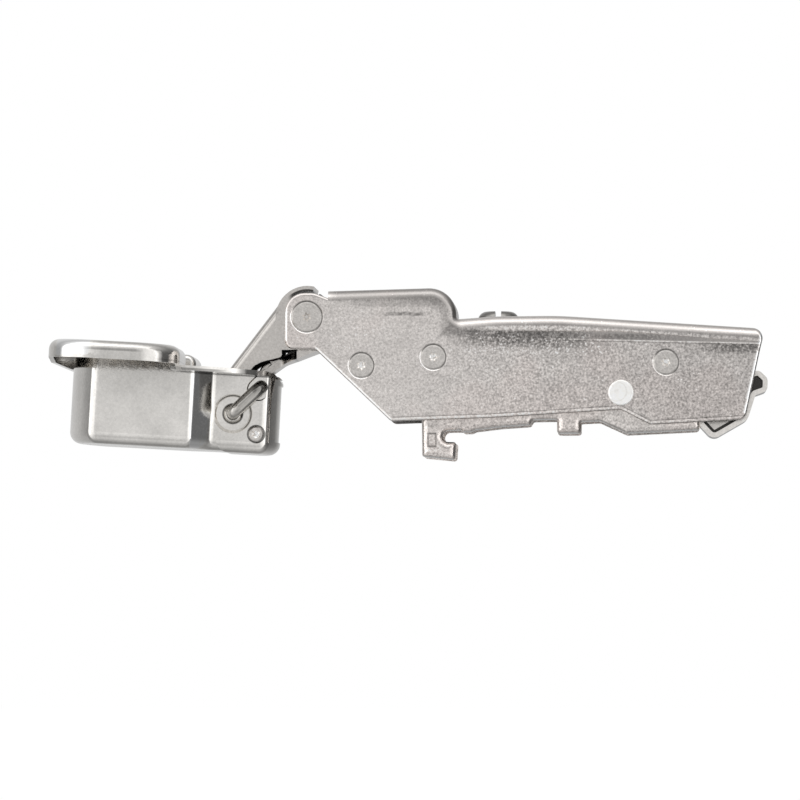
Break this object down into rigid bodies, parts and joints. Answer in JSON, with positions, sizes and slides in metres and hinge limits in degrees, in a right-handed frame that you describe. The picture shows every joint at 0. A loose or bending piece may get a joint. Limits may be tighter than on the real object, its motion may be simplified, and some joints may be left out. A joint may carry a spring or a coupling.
{
  "type": "concealed cup hinge",
  "caption": "Concealed clip-on cabinet hinge: drawn steel cup with wings, two links, a long cranked arm on a clip base with hooks, a sprung release catch and adjusting screws.",
  "frame": {"origin": "on the axis of the clip base's two front hooks, midway between its side plates", "axes": "+X along the arm towards its rear end, +Y along the hinge axes, +Z away from the cabinet's side panel"},
  "size_m": [0.1169, 0.062, 0.0287],
  "materials": {
    "cup_steel": "nickel plated, polished",
    "link_steel": "nickel plated, satin",
    "arm_steel": "nickel plated, fine grainy satin",
    "base_steel": "nickel plated, satin",
    "catch_steel": "nickel plated, satin",
    "pin_steel": "nickel plated, bright",
    "screw_steel": "nickel plated",
    "spring_steel": "oiled spring wire",
    "bush_plastic": "moulded"
  },
  "bodies": {
    "base": {"clip_base": "base_steel"},
    "carriage": {"arm_pivot_pin": "pin_steel"},
    "arm": {"hinge_arm": "arm_steel", "outer_link_pin": "pin_steel", "inner_link_pin": "pin_steel", "spring_pin": "pin_steel", "catch_pin": "pin_steel", "closing_spring": "spring_steel", "spring_bush": "bush_plastic", "catch_spring": "spring_steel"},
    "outer_link": {"outer_link": "link_steel"},
    "cup": {"cup": "cup_steel", "cup_staple": "pin_steel", "cup_stop_pin": "pin_steel"},
    "inner_link": {"inner_link": "link_steel"},
    "catch": {"release_catch": "catch_steel"},
    "screw_foot": {"overlay_screw_foot": "screw_steel"},
    "screw": {"overlay_screw": "screw_steel"},
    "cam": {"depth_cam": "screw_steel"}
  },
  "joints": [
    {"name": "depth_adjust", "type": "slide", "parent": "base", "child": "carriage", "axis": [1, 0, 0], "range_m": [-0.0012, 0.0012]},
    {"name": "overlay_adjust", "type": "hinge", "parent": "carriage", "child": "arm", "pos_m": [0.0284, 0, 0.0071], "axis": [0, 1, 0], "range_deg": [-1, 1.5]},
    {"name": "screw_foot_slide", "type": "slide", "parent": "arm", "child": "screw_foot", "axis": [0, 0, 1], "range_m": [-0.0006, 0.0004]},
    {"name": "overlay_screw_turn", "type": "hinge", "parent": "screw_foot", "child": "screw", "pos_m": [0.0081, 0, 0.016], "axis": [0, 0, 1], "range_deg": [-195, 130]},
    {"name": "depth_cam_turn", "type": "hinge", "parent": "arm", "child": "cam", "pos_m": [0.0202, 0, 0.018], "axis": [0, 0, 1], "range_deg": [-34.6, 34.6]},
    {"name": "outer_link_pivot", "type": "hinge", "parent": "arm", "child": "outer_link", "pos_m": [-0.0233, 0, 0.01965], "axis": [0, 1, 0], "range_deg": [-37.92, 0]},
    {"name": "cup_pivot", "type": "hinge", "parent": "outer_link", "child": "cup", "pos_m": [-0.03547, 0, 0.00373], "axis": [0, 1, 0], "range_deg": [0, 123.8], "deforming": ["closing_spring"]},
    {"name": "inner_link_pivot", "type": "hinge", "parent": "cup", "child": "inner_link", "pos_m": [-0.03082, 0, 0.00812], "axis": [0, 1, 0], "range_deg": [-149.91, 0]},
    {"name": "catch_pivot", "type": "hinge", "parent": "arm", "child": "catch", "pos_m": [0.0358, 0, 0.0121], "axis": [0, 1, 0], "range_deg": [-7, 0], "stiffness_Nm_per_rad": 0.05, "springref_deg": 11.46, "deforming": ["catch_spring"]}
  ],
  "couplings": [
    {"joint": "outer_link_pivot", "follows": "cup_pivot", "ratio": -0.30546},
    {"joint": "inner_link_pivot", "follows": "cup_pivot", "ratio": -1.2095},
    {"joint": "screw_foot_slide", "follows": "overlay_adjust", "m_per_rad": -0.0203},
    {"joint": "overlay_screw_turn", "follows": "overlay_adjust", "ratio": -127.55},
    {"joint": "depth_cam_turn", "follows": "depth_adjust", "rad_per_m": 500}
  ]
}
